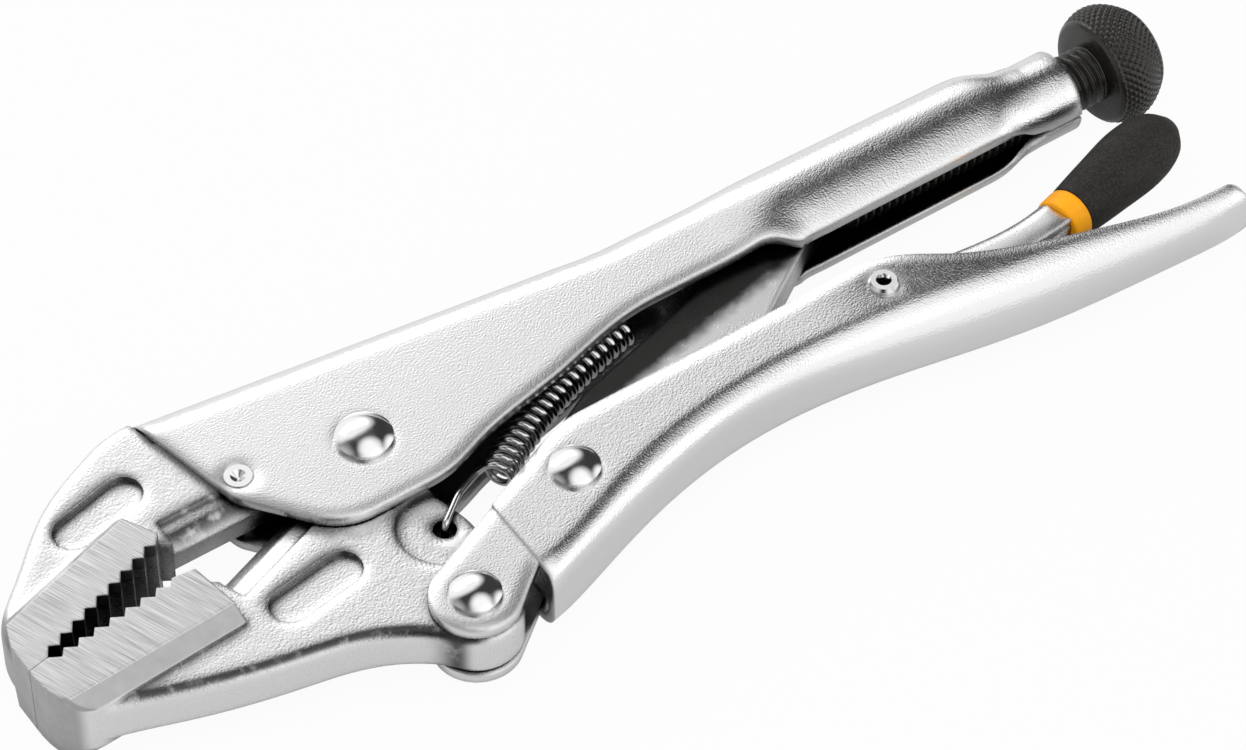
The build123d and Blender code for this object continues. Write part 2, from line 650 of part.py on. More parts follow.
def adjusting_screw():
    tip_x = LINK_END.X + LINK_NOSE_R + SCREW_TIP_GAP
    shoulder_x = KNOB_FRONT_X - KNOB_FACE_GAP
    spigot_x = KNOB_FRONT_X + SPIGOT_LENGTH
    return turned(
        Polyline(
            (tip_x, 0),
            (tip_x, SCREW_R - SCREW_TIP_CHAMFER),
            (tip_x + SCREW_TIP_CHAMFER, SCREW_R),
            (shoulder_x, SCREW_R),
            (shoulder_x, SPIGOT_R),
            (spigot_x, SPIGOT_R),
            (spigot_x, 0),
            close=True,
        )
    )


def screw_knob():
    rear_x = KNOB_FRONT_X + KNOB_LENGTH
    bore_r = SPIGOT_R + PIVOT_GAP
    bore_x = KNOB_FRONT_X + SPIGOT_LENGTH + KNOB_FACE_GAP
    swell = Vector(mix(KNOB_FRONT_X, rear_x, KNOB_SWELL_SHARE), KNOB_R)
    front_edge = Vector(KNOB_FRONT_X + KNOB_CHAMFER, KNOB_R - KNOB_FRONT_CROWN)
    rear_edge = Vector(rear_x - KNOB_CHAMFER, KNOB_R - KNOB_REAR_CROWN)
    rim = Spline(front_edge, swell, rear_edge, tangents=(KNOB_FRONT_SLOPE, (1, 0), KNOB_REAR_SLOPE))
    face_r = KNOB_R - KNOB_FRONT_CROWN - KNOB_CHAMFER
    rear_r = KNOB_R - KNOB_REAR_CROWN - KNOB_CHAMFER
    return turned(
        rim,
        Polyline(rear_edge, (rear_x, rear_r), (rear_x, 0), (bore_x, 0), (bore_x, bore_r)),
        Polyline((bore_x, bore_r), (KNOB_FRONT_X, bore_r), (KNOB_FRONT_X, face_r), front_edge),
    )


# Return spring


def coil_heading(turn):
    """Heading of the coil's bowed middle line."""
    return COIL_START_ANGLE - math.degrees(COIL_PITCH * turn / COIL_BOW_R)


def coil_point(turn):
    """Point and direction of the wire's middle line, counted in turns from the front."""
    along = direction(coil_heading(turn))
    side = left_of(along)
    centre = COIL_START + (left_of(along) - left_of(direction(COIL_START_ANGLE))) * COIL_BOW_R
    angle = math.radians(COIL_FIRST - 360 * turn)
    point = centre + side * (COIL_R * math.sin(angle)) + Vector(0, 0, COIL_R * math.cos(angle))
    pull = along * (COIL_PITCH / (2 * math.pi)) - side * (COIL_R * math.cos(angle))
    pull += Vector(0, 0, COIL_R * math.sin(angle))
    return point, pull.normalized()


def biarc(start, start_pull, end, end_pull):
    """Two arcs in a smooth line between two points with given directions."""
    span = end - start
    both = start_pull + end_pull
    square = 2 * (1 - start_pull.dot(end_pull))
    reach = (math.sqrt(span.dot(both) ** 2 + span.dot(span) * square) - span.dot(both)) / square
    first, second = start + start_pull * reach, end - end_pull * reach
    middle = (first + second) / 2
    return [
        TangentArc(start, middle, tangent=start_pull),
        TangentArc(middle, end, tangent=second - first),
    ]


def spring_path():
    turns = COIL_LOOPS - (COIL_LAST - COIL_FIRST) / 360
    first, first_pull = coil_point(0)
    last, last_pull = coil_point(turns)
    hook_end = Vector(SPRING_HOLE.X, SPRING_HOLE.Y, -HOOK_DEPTH)
    leg_start = Vector(SPRING_HOLE.X, SPRING_HOLE.Y, JAW_WEB - SPRING_POCKET_DEPTH + HOOK_RISE)
    leg_end = first - first_pull * HOOK_REACH
    leg_level = mix(leg_start, Vector(leg_end.X, leg_end.Y, leg_start.Z), HOOK_LEVEL)
    front = FilletPolyline(hook_end, leg_start, leg_level, leg_end, first, radius=HOOK_BEND)
    along = direction(coil_heading(turns))
    rise_end = last + last_pull * (TONGUE_HALF + WIRE_R + HOOK_GAP)
    tail = rise_end + along * ((TONGUE_X + WIRE_R + HOOK_GAP - rise_end.X) / along.X)
    rear = FilletPolyline(last, rise_end, tail, tail - Vector(0, 0, 2 * rise_end.Z), radius=HOOK_BEND)
    halves = [turns * half / (2 * COIL_LOOPS) for half in range(2 * COIL_LOOPS + 1)]
    ends = [coil_point(turn) for turn in halves]
    coils = [arc for start, end in zip(ends, ends[1:]) for arc in biarc(*start, *end)]
    return Wire([*front.edges(), *coils, *rear.edges()])


def self_gap(path):
    """Least clear distance of the wire from itself, on points a wire's radius apart."""
    count = int(path.length / WIRE_R)
    points = [path @ (step / count) for step in range(count + 1)]
    near = int(math.pi * COIL_R / WIRE_R)
    apart = [
        (points[first] - points[second]).length
        for first in range(count + 1)
        for second in range(first + near, min(count, first + 5 * near) + 1)
    ]
    return min(apart) - 2 * WIRE_R


def return_spring():
    path = spring_path()
    print("spring clear of itself by", round(self_gap(path), 2), "mm")
    section = Plane(origin=path @ 0, z_dir=path % 0) * RegularPolygon(WIRE_R, WIRE_SIDES)
    return sweep(section, path=path)


PIECES = {
    "fixed_handle": fixed_handle,
    "upper_jaw": upper_jaw,
    "upper_jaw_pin": upper_jaw_pin,
    "jaw_pivot_rivet": lambda: rivet(JAW_PIVOT, JAW_RIVET, CHEEK_OUTER),
    "lower_jaw": lower_jaw,
    "moving_handle": moving_handle,
    "handle_rivet": lambda: rivet(HANDLE_PIVOT, SMALL_RIVET, CHEEK_OUTER),
    "toggle_rivet": lambda: rivet(TOGGLE_PIVOT, SMALL_RIVET, MOVING_HALF),
    "toggle_link": toggle_link,
    "release_pin": release_pin,
    "release_lever": release_lever,
    "release_band": release_band,
    "release_grip": release_grip,
    "adjusting_screw": adjusting_screw,
    "screw_knob": screw_knob,
    "return_spring": return_spring,
}

os.makedirs("parts", exist_ok=True)
solids = {name: make() for name, make in PIECES.items()}
boxes = [solid.bounding_box() for solid in solids.values()]
low = [min(getattr(box.min, axis) for box in boxes) for axis in "XYZ"]
high = [max(getattr(box.max, axis) for box in boxes) for axis in "XYZ"]
SET_DOWN = Pos(-(low[0] + high[0]) / 2, -(low[1] + high[1]) / 2, -low[2])
for name, solid in solids.items():
    export_step(SET_DOWN * solid, f"parts/{name}.step")
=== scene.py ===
"""Locking pliers: plated, forged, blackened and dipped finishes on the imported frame."""

import math

import bmesh
import bpy
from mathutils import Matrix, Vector


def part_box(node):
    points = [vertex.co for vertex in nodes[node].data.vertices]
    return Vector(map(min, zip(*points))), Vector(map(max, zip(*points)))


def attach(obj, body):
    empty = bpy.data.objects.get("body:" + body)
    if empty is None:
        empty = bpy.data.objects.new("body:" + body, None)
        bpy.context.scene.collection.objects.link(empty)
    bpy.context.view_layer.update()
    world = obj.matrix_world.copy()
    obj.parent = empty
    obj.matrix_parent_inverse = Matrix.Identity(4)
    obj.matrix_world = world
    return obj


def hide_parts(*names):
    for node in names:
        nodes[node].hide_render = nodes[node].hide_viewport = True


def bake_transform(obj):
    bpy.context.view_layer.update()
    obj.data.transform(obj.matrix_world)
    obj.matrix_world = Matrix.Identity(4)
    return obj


MM = 0.001

# Sizes in millimetres from the jaw pivot; those of the solids are the part's own
NOSE_FRONT_X = -73.3
NOSE_HALF = 8.0
NOSE_FACE_DEPTHS = (5.0, 2.5)
NOSE_GRINDING_ANGLE = -22.0
JAW_WEB_HALF = 4.7
SCREW_Y = 3.6
SCREW_R = 5.6
SCREW_TIP_X = 101.8
SCREW_TIP_CHAMFER = 1.6
SCREW_TIP_INNER_R = 1.0
SCREW_SIDES = 72
SCREW_SHOULDER_X = 160.9
THREAD_PITCH = 1.75
THREAD_DEPTH = 0.85
THREAD_INNER_R = 3.2
THREAD_RUN_OUT = 0.6
THREAD_STEPS = 12
SPIGOT_R = 3.0
SPIGOT_END_X = 167.5

KNOB_FRONT_X = 161.0
KNOB_REAR_X = 172.4
KNOB_R = 11.5
KNOB_RIM_STEP = 0.16
KNOB_CHAMFER = 0.8
KNOB_BORE_R = 3.06
KNOB_FRONT_RADII = (KNOB_BORE_R, 5.0, 7.0)
KNOB_REAR_RADII = (6.0, 4.0, 1.5)
KNURL_STARTS = 46
KNURL_SIDES = 6
KNURL_DEPTH = 0.5
KNURL_INNER_R = 6.0
KNURL_RUN_OUT = 0.5
KNURL_REACH = 0.1

# Knob's barrel: X, radius and slope where its curve is held
KNOB_RIM = ((161.8, 10.3, 0.5), (165.56, 11.5, 0.0), (171.6, 8.6, -0.9))

# Knob's two edges: how far back from the face, and out from the face's rim
KNOB_FRONT_EDGE = ((0.0, -0.15), (0.1, 0.05), (0.45, 0.45))
KNOB_REAR_EDGE = ((0.45, 0.45), (0.1, 0.05), (0.0, -0.2))

WIRE_R = 0.65
WIRE_SIDES = 12
COIL_R = 2.65
COIL_LOOPS = 20
COIL_PITCH = 2.06
COIL_START = Vector((16.85, -15.16, 0.0))
COIL_START_ANGLE = 33.0
COIL_BOW_R = 114.0
COIL_FIRST = 60.0
COIL_LAST = 90.0
COIL_STEPS = 28
SPRING_HOLE = Vector((1.8, -22.4, 0.0))
HOOK_SEAT_Z = 4.35
HOOK_DEPTH = 5.4
HOOK_BEND = 1.4
HOOK_BEND_SHARES = (0.0, 0.15, 0.3, 0.45, 0.6, 0.75, 0.9, 1.0)
HOOK_REACH = 2.3
HOOK_LEVEL = 0.45
TONGUE_X = 66.0
TONGUE_HALF = 1.5
HOOK_GAP = 0.35

# Two points on the link; above the line through them its face is painted with shade
LINK_SHADE_FROM = Vector((41.4, -15.4, 0.0))
LINK_SHADE_TO = Vector((82.7, -7.0, 0.0))
FLARE_SLOPE = 0.2
FLARE_STARTS_X = (72.0, 112.0)
FLARE_ENDS_X = (158.0, 122.0)
FLARE_FOOT_Y = -36.0

GRIP_START = Vector((132.6, -23.4, 0.0))
GRIP_ANGLE = 14.0
BAND_WIDTH = 4.2
GRIP_LENGTH = 29.0
GRIP_SIDES = 56
GRIP_LIP_R = 0.45
GRIP_RING_SHARE = 0.03
GRIP_DOME_FROM = 0.985

# Grip: share of its length, half height and half thickness
GRIP_SECTIONS = (
    (0.0, 5.0, 5.3),
    (0.3, 5.9, 5.8),
    (0.65, 6.6, 6.0),
    (0.88, 5.2, 4.8),
    (1.0, 2.2, 2.0),
)

# Band: distance from its front edge and inset of its skin
BAND_PROFILE = (
    (0.0, 0.75),
    (0.06, 0.5),
    (0.2, 0.28),
    (0.5, 0.14),
    (1.2, 0.08),
    (3.0, 0.04),
    (BAND_WIDTH - 0.25, 0.06),
    (BAND_WIDTH - 0.05, 0.2),
    (BAND_WIDTH, 0.5),
)

# Studio light: the dim level, then each glow's heading, where it starts and is full, and its strength
STUDIO_DIM = 0.045
STUDIO_GLOWS = (
    ((0.05, 0.87, 0.5), 0.73, 0.88, 1.0),
    ((0.07, -0.36, 0.93), 0.8, 0.97, 1.1),
    ((0.21, -0.92, 0.32), 0.7, 1.0, 1.1),
    ((0.86, -0.42, 0.28), 0.83, 0.94, 1.1),
    ((-0.97, 0.1, 0.22), 0.62, 0.95, 0.65),
)

# Lamps, all aimed at the part: place, width, height, power, and if metal mirrors them
LAMPS = (
    ("far_softbox", (0.1, 0.9, 0.55), 0.9, 0.35, 2.2, True),
    ("left_softbox", (-0.75, 0.25, 0.5), 0.3, 0.6, 1.2, False),
    ("top_fill", (-0.25, -0.35, 0.9), 0.7, 0.7, 4.2, False),
)

# Floor: half size, shade, white share to the camera, and white share in metal from near to far
FLOOR_HALF = 3.0
FLOOR_SHADE = 0.62
FLOOR_SEEN = 0.95
FLOOR_MIRROR_Y = (0.02, 0.12)
FLOOR_MIRROR_SHARES = (0.2, 0.9)

# Camera, as fitted to the photograph
CAMERA_PLACE = (-286.3, -495.1, 679.2)
CAMERA_AIM = (48.14, -8.46, 0.0)
CAMERA_LENS = 148.2
CAMERA_SENSOR = 36.0

# Colours shared by the finishes
WHITE = (1.0, 1.0, 1.0, 1.0)
# Near black for painted shade on the jaws and the link: in their corners, on the jaws' lower edges and
# where the fixed handle's channel shades the link
PAINTED_SHADE_BLACK = (0.035, 0.034, 0.033, 1.0)

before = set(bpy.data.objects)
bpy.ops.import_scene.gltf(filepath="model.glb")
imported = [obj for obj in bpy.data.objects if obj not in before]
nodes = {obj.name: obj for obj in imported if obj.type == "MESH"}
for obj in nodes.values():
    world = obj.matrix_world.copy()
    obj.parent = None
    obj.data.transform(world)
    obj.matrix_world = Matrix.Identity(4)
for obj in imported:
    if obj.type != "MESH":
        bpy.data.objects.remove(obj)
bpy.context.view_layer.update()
rivet_low, rivet_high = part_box("jaw_pivot_rivet")
PIVOT = (rivet_low + rivet_high) / 2


def at(point):
    """A point in millimetres from the jaw pivot, in the frame's metres."""
    return PIVOT + Vector(point) * MM


def direction(degrees):
    return Vector((math.cos(math.radians(degrees)), math.sin(math.radians(degrees)), 0.0))


def left_of(heading):
    return Vector((-heading.y, heading.x, 0.0))


# Node helpers


def put(tree, kind, **settings):
    node = tree.nodes.new(kind)
    for name, value in settings.items():
        setattr(node, name, value)
    return node


def feed(tree, socket, value):
    """Links a socket to an output, or sets its own value."""
    if isinstance(value, bpy.types.NodeSocket):
        tree.links.new(value, socket)
    else:
        socket.default_value = value


def math_node(tree, operation, *values):
    node = put(tree, "ShaderNodeMath", operation=operation)
    for socket, value in zip(node.inputs, values):
        feed(tree, socket, value)
    return node.outputs[0]


def product(tree, first, *others):
    for other in others:
        first = math_node(tree, "MULTIPLY", first, other)
    return first


def rest_of(tree, share):
    """What a share leaves of one."""
    return math_node(tree, "SUBTRACT", 1.0, share)


def vector_node(tree, operation, *values):
    node = put(tree, "ShaderNodeVectorMath", operation=operation)
    for socket, value in zip(node.inputs, values):
        feed(tree, socket, value)
    return node.outputs["Value" if operation in ("DOT_PRODUCT", "LENGTH") else "Vector"]


def separate(tree, vector):
    node = put(tree, "ShaderNodeSeparateXYZ")
    feed(tree, node.inputs[0], vector)
    return node.outputs


def scaled(tree, vector, factor):
    node = put(tree, "ShaderNodeVectorMath", operation="SCALE")
    feed(tree, node.inputs[0], vector)
    feed(tree, node.inputs["Scale"], factor)
    return node.outputs["Vector"]


def ramp(tree, value, low, high, to_low=0.0, to_high=1.0, smooth=True):
    """A value brought from one range to another, held at the ends."""
    kind = "SMOOTHSTEP" if smooth else "LINEAR"
    node = put(tree, "ShaderNodeMapRange", interpolation_type=kind, clamp=True)
    for socket, item in zip(node.inputs, (value, low, high, to_low, to_high)):
        feed(tree, socket, item)
    return node.outputs[0]


def grey(level):
    return (level, level, level, 1.0)


def blend_colour(tree, share, first, second):
    node = put(tree, "ShaderNodeMix", data_type="RGBA")
    feed(tree, node.inputs[0], share)
    feed(tree, node.inputs[6], first)
    feed(tree, node.inputs[7], second)
    return node.outputs[2]


def blend_value(tree, share, first, second):
    node = put(tree, "ShaderNodeMix", data_type="FLOAT")
    for socket, value in zip(node.inputs[:1] + node.inputs[2:4], (share, first, second)):
        feed(tree, socket, value)
    return node.outputs[0]


def new_tree(name, kind, inputs, outputs):
    tree = bpy.data.node_groups.new(name, kind)
    for label, socket_type, value in inputs:
        socket = tree.interface.new_socket(label, in_out="INPUT", socket_type=socket_type)
        if value is not None:
            socket.default_value = value
    for label, socket_type in outputs:
        tree.interface.new_socket(label, in_out="OUTPUT", socket_type=socket_type)
    return tree, put(tree, "NodeGroupInput").outputs, put(tree, "NodeGroupOutput").inputs


# Shared surface effects


def make_pebble_group():
    """Small rounded pebbles of plated sheet and forgings, with a slow swell."""
    tree, given, out = new_tree(
        "pebbled_skin",
        "ShaderNodeTree",
        [
            ("Place", "NodeSocketVector", None),
            ("Pebbles per metre", "NodeSocketFloat", 1800.0),
            ("Swell per metre", "NodeSocketFloat", 420.0),
            ("Swell share", "NodeSocketFloat", 0.4),
        ],
        [("Height", "NodeSocketFloat"), ("Mottle", "NodeSocketFloat")],
    )
    pebbles = put(tree, "ShaderNodeTexVoronoi", feature="SMOOTH_F1")
    feed(tree, pebbles.inputs["Vector"], given["Place"])
    feed(tree, pebbles.inputs["Scale"], given["Pebbles per metre"])
    pebbles.inputs["Smoothness"].default_value = 0.7
    swell = put(tree, "ShaderNodeTexNoise")
    feed(tree, swell.inputs["Vector"], given["Place"])
    feed(tree, swell.inputs["Scale"], given["Swell per metre"])
    swell.inputs["Detail"].default_value = 5.0
    domes = rest_of(tree, pebbles.outputs["Distance"])
    height = math_node(tree, "MULTIPLY_ADD", swell.outputs["Fac"], given["Swell share"], domes)
    feed(tree, out["Height"], height)
    feed(tree, out["Mottle"], swell.outputs["Fac"])
    return tree


def make_brush_group():
    """Fine straight grinding lines along one heading."""
    tree, given, out = new_tree(
        "grinding_lines",
        "ShaderNodeTree",
        [
            ("Place", "NodeSocketVector", None),
            ("Heading", "NodeSocketFloat", 0.0),
            ("Lines per metre", "NodeSocketFloat", 9000.0),
            ("Length share", "NodeSocketFloat", 0.012),
        ],
        [("Lines", "NodeSocketFloat")],
    )
    turn = put(tree, "ShaderNodeVectorRotate", rotation_type="Z_AXIS")
    feed(tree, turn.inputs["Vector"], given["Place"])
    feed(tree, turn.inputs["Angle"], given["Heading"])
    stretch = put(tree, "ShaderNodeCombineXYZ")
    feed(tree, stretch.inputs[0], given["Lines per metre"])
    along = math_node(tree, "MULTIPLY", given["Lines per metre"], given["Length share"])
    feed(tree, stretch.inputs[1], along)
    feed(tree, stretch.inputs[2], along)
    stretched = vector_node(tree, "MULTIPLY", turn.outputs[0], stretch.outputs[0])
    lines = put(tree, "ShaderNodeTexNoise")
    feed(tree, lines.inputs["Vector"], stretched)
    lines.inputs["Scale"].default_value = 1.0
    lines.inputs["Detail"].default_value = 4.0
    feed(tree, out["Lines"], lines.outputs["Fac"])
    return tree


def make_wear_and_shade_group():
    """Rubbed outer edges, a slow fall towards them, and a corner mask from ambient occlusion that the
    finishes darken with, mostly as painted shade.
    """
    tree, given, out = new_tree(
        "edges_and_corners",
        "ShaderNodeTree",
        [
            ("Edge reach", "NodeSocketFloat", 0.0006),
            ("Fall reach", "NodeSocketFloat", 0.001),
            ("Fall share", "NodeSocketFloat", 0.0),
            ("Corner reach", "NodeSocketFloat", 0.003),
            ("Open above", "NodeSocketFloat", 0.75),
            ("Shut below", "NodeSocketFloat", 0.15),
        ],
        [("Edge", "NodeSocketFloat"), ("Corner", "NodeSocketFloat"), ("Rounded", "NodeSocketVector")],
    )
    rounded = put(tree, "ShaderNodeBevel", samples=4)
    feed(tree, rounded.inputs["Radius"], given["Edge reach"])
    falling = put(tree, "ShaderNodeBevel", samples=6)
    feed(tree, falling.inputs["Radius"], given["Fall reach"])
    fall = scaled(tree, falling.outputs[0], given["Fall share"])
    both = vector_node(tree, "NORMALIZE", vector_node(tree, "ADD", rounded.outputs[0], fall))
    surface = put(tree, "ShaderNodeNewGeometry")
    agree = vector_node(tree, "DOT_PRODUCT", rounded.outputs[0], surface.outputs["Normal"])
    # Corner mask: 1 where ambient occlusion finds the surface hemmed in; the finishes darken their colour
    # with it, mostly as painted shade
    open_sky = put(tree, "ShaderNodeAmbientOcclusion", samples=6)
    feed(tree, open_sky.inputs["Distance"], given["Corner reach"])
    corner = ramp(tree, open_sky.outputs["AO"], given["Open above"], given["Shut below"])
    turned_away = ramp(tree, agree, 0.995, 0.93)
    edge = math_node(tree, "MULTIPLY", turned_away, open_sky.outputs["AO"])
    feed(tree, out["Edge"], edge)
    feed(tree, out["Corner"], corner)
    feed(tree, out["Rounded"], both)
    return tree


PEBBLED = make_pebble_group()
BRUSHED = make_brush_group()
WEAR_AND_SHADE = make_wear_and_shade_group()


def use_group(tree, group, **values):
    node = put(tree, "ShaderNodeGroup", node_tree=group)
    for name, value in values.items():
        feed(tree, node.inputs[name.replace("_", " ")], value)
    return node.outputs


def new_material(name, **plain):
    """A material, its tree, its shader and the place on the piece; plain values go on the shader."""
    material = bpy.data.materials.new(name)
    material.use_nodes = True
    tree = material.node_tree
    shader = tree.nodes["Principled BSDF"]
    for socket, value in plain.items():
        shader.inputs[socket.replace("_", " ")].default_value = value
    place = put(tree, "ShaderNodeTexCoord").outputs["Object"]
    return material, tree, shader, place


def relief(tree, height, strength, distance, under=None):
    """A bumped normal, on top of another one if given."""
    node = put(tree, "ShaderNodeBump")
    if under is not None:
        feed(tree, node.inputs["Normal"], under)
    node.inputs["Strength"].default_value = strength
    node.inputs["Distance"].default_value = distance
    feed(tree, node.inputs["Height"], height)
    return node.outputs[0]


def dress(tree, shader, colour, roughness, normal):
    feed(tree, shader.inputs["Base Color"], colour)
    feed(tree, shader.inputs["Roughness"], roughness)
    feed(tree, shader.inputs["Normal"], normal)


def flared_tail(tree, place, under):
    """Tilts the shading normal so the trough's walls look to lean out behind the lever's pin and
    straighten at the tip.
    """
    spot = separate(tree, place)
    starts = ramp(tree, spot["X"], *[at((x, 0, 0)).x for x in FLARE_STARTS_X])
    ends = ramp(tree, spot["X"], *[at((x, 0, 0)).x for x in FLARE_ENDS_X])
    rise = math_node(tree, "SUBTRACT", spot["Y"], at((0, FLARE_FOOT_Y, 0)).y)
    return relief(tree, product(tree, starts, ends, FLARE_SLOPE, rise), 1.0, 1.0, under)


def plated_sheet(name, tint, rough, pebbles, depth, form=None):
    """Bright plating over pressed sheet with a fine pebble, and painted shade in corners and inside the
    channels.
    """
    material, tree, shader, place = new_material(name, Metallic=1.0)
    skin = use_group(tree, PEBBLED, Place=place, Pebbles_per_metre=pebbles, Swell_share=0.06)
    wear_and_shade = use_group(
        tree,
        WEAR_AND_SHADE,
        Edge_reach=0.0011,
        Fall_reach=0.0045,
        Fall_share=0.65,
        Corner_reach=0.014,
        Open_above=0.45,
        Shut_below=0.15,
    )
    # Painted shade: deep in corners and inside the handles' channels, the plating is painted down to 0.08
    # of its tint
    painted_shade_tint = tuple(0.08 * part for part in tint)
    colour = blend_colour(tree, wear_and_shade["Corner"], (*tint, 1.0), (*painted_shade_tint, 1.0))
    mottle = ramp(tree, skin["Mottle"], 0.3, 0.7, rough - 0.02, rough + 0.03)
    rubbed = math_node(tree, "MULTIPLY_ADD", wear_and_shade["Edge"], -0.08, mottle)
    under = wear_and_shade["Rounded"] if form is None else form(tree, place, wear_and_shade["Rounded"])
    dress(tree, shader, colour, rubbed, relief(tree, skin["Height"], 0.6, depth, under))
    return material


def forged_jaw():
    """Plated forging: lumpy web with painted shade on its lower edges, tooth walls and corners, ground
    noses, satin flanks.
    """
    material, tree, shader, place = new_material("forged_jaw", Metallic=1.0)
    skin = use_group(
        tree, PEBBLED, Place=place, Pebbles_per_metre=2300.0, Swell_per_metre=380.0, Swell_share=1.1
    )
    spot = separate(tree, place)
    off_middle = math_node(tree, "ABSOLUTE", math_node(tree, "SUBTRACT", spot["Z"], PIVOT.z))
    ground = ramp(tree, off_middle, NOSE_HALF * MM - 0.0003, NOSE_HALF * MM - 0.0001, smooth=False)
    beside = ramp(tree, off_middle, JAW_WEB_HALF * MM + 0.0002, JAW_WEB_HALF * MM + 0.0007)
    face_x = [at((NOSE_FRONT_X + depth, 0, 0)).x for depth in NOSE_FACE_DEPTHS]
    machined = math_node(tree, "MAXIMUM", beside, ramp(tree, spot["X"], *face_x))
    wear_and_shade = use_group(
        tree,
        WEAR_AND_SHADE,
        Edge_reach=blend_value(tree, machined, 0.0012, 0.0005),
        Fall_reach=0.004,
        Fall_share=blend_value(tree, machined, 0.9, 0.0),
        Corner_reach=0.012,
        Open_above=0.8,
        Shut_below=0.4,
    )
    lines = use_group(tree, BRUSHED, Place=place, Heading=math.radians(NOSE_GRINDING_ANGLE))["Lines"]

    satin = blend_colour(tree, skin["Mottle"], grey(0.33), grey(0.48))
    lined = blend_colour(tree, ramp(tree, lines, 0.35, 0.65), grey(0.42), grey(0.78))
    open_face = blend_colour(tree, machined, grey(0.8), blend_colour(tree, ground, satin, lined))
    # Painted dark reflection: a dark band on the web's lower edges where the rounded normal leans towards
    # −Y
    lean = math_node(tree, "MULTIPLY", separate(tree, wear_and_shade["Rounded"])["Y"], -1.0)
    flank = product(
        tree,
        ramp(tree, lean, 0.06, 0.17),
        ramp(tree, lean, 0.82, 0.6),
        ramp(tree, skin["Mottle"], 0.25, 0.5, 0.55, 0.95),
        rest_of(tree, machined),
    )
    # Painted shade: tooth walls, the heel and the web beside the handles' edges go near black through the
    # corner mask, except on ground faces; the lower edges' band is added
    dark = math_node(tree, "MAXIMUM", product(tree, wear_and_shade["Corner"], rest_of(tree, ground)), flank)
    colour = blend_colour(tree, dark, open_face, PAINTED_SHADE_BLACK)

    forged_rough = ramp(tree, skin["Mottle"], 0.3, 0.7, 0.2, 0.34)
    line_rough = ramp(tree, lines, 0.3, 0.7, 0.3, 0.42)
    roughness = blend_value(tree, machined, forged_rough, line_rough)
    line_height = product(tree, lines, blend_value(tree, ground, 0.0, 0.7))
    height = blend_value(tree, machined, skin["Height"], line_height)
    dress(tree, shader, colour, roughness, relief(tree, height, 0.5, 0.00008, wear_and_shade["Rounded"]))
    return material


def forged_link():
    """Plated forging with painted shade along its upper flank, where the fixed handle's channel shades
    it, and in its corners.
    """
    material, tree, shader, place = new_material("forged_link", Metallic=1.0)
    skin = use_group(
        tree, PEBBLED, Place=place, Pebbles_per_metre=3200.0, Swell_per_metre=380.0, Swell_share=0.5
    )
    wear_and_shade = use_group(tree, WEAR_AND_SHADE, Edge_reach=0.0012, Corner_reach=0.012, Open_above=0.55, Shut_below=0.2)
    start, end = at(LINK_SHADE_FROM), at(LINK_SHADE_TO)
    run = (end - start).normalized()
    offset = vector_node(tree, "SUBTRACT", place, tuple(start))
    above = vector_node(tree, "DOT_PRODUCT", offset, tuple(left_of(run)))
    edge = math_node(tree, "MULTIPLY_ADD", skin["Mottle"], 0.002, above)
    # Painted shade: above the line between the two link points, with a mottled edge, the face is painted
    # near black where the fixed handle's channel shades it
    channel_shade = ramp(tree, edge, 0.0, 0.0035)
    open_face = blend_colour(tree, channel_shade, grey(0.7), PAINTED_SHADE_BLACK)
    # Painted shade: the corner mask darkens the link's corners to near black
    colour = blend_colour(tree, wear_and_shade["Corner"], open_face, grey(0.02))
    roughness = ramp(tree, skin["Mottle"], 0.3, 0.7, 0.26, 0.34)
    dress(tree, shader, colour, roughness, relief(tree, skin["Height"], 0.5, 0.00006, wear_and_shade["Rounded"]))
    return material


def polished_rivet():
    """Polished dome with small knocks."""
    material, tree, shader, place = new_material("polished_rivet", Metallic=1.0)
    skin = use_group(
        tree, PEBBLED, Place=place, Pebbles_per_metre=900.0, Swell_per_metre=500.0, Swell_share=0.6
    )
    wear_and_shade = use_group(tree, WEAR_AND_SHADE, Edge_reach=0.0004, Corner_reach=0.0015)
    colour = blend_colour(tree, wear_and_shade["Corner"], (0.84, 0.84, 0.85, 1.0), (0.2, 0.19, 0.18, 1.0))
    roughness = ramp(tree, skin["Mottle"], 0.35, 0.7, 0.1, 0.2)
    dress(tree, shader, colour, roughness, relief(tree, skin["Height"], 0.12, 0.00004))
    return material


def black_oxide():
    """Oiled black oxide, darker in its hollows, with bare steel on rubbed crests that is partly a painted
    highlight.
    """
    material, tree, shader, place = new_material("black_oxide", Metallic=0.2, Specular_IOR_Level=0.6)
    skin = use_group(
        tree, PEBBLED, Place=place, Pebbles_per_metre=2600.0, Swell_per_metre=600.0, Swell_share=0.8
    )
    wear_and_shade = use_group(tree, WEAR_AND_SHADE, Edge_reach=0.0002, Corner_reach=0.0012)
    base = blend_colour(tree, skin["Mottle"], (0.011, 0.0102, 0.0088, 1.0), (0.024, 0.022, 0.019, 1.0))
    # Darker where the corner mask finds hollows, such as the knurl's grooves
    darker_in_hollows = blend_colour(tree, wear_and_shade["Corner"], base, (0.006, 0.0056, 0.005, 1.0))
    # Lighter bare steel on rubbed edges and crests: wear, and also a painted highlight along the knurl's
    # crests
    rubbed = math_node(tree, "MULTIPLY", wear_and_shade["Edge"], 0.6)
    colour = blend_colour(tree, rubbed, darker_in_hollows, (0.26, 0.25, 0.23, 1.0))
    roughness = ramp(tree, skin["Mottle"], 0.3, 0.7, 0.2, 0.32)
    dress(tree, shader, colour, roughness, relief(tree, skin["Height"], 0.25, 0.00004))
    return material


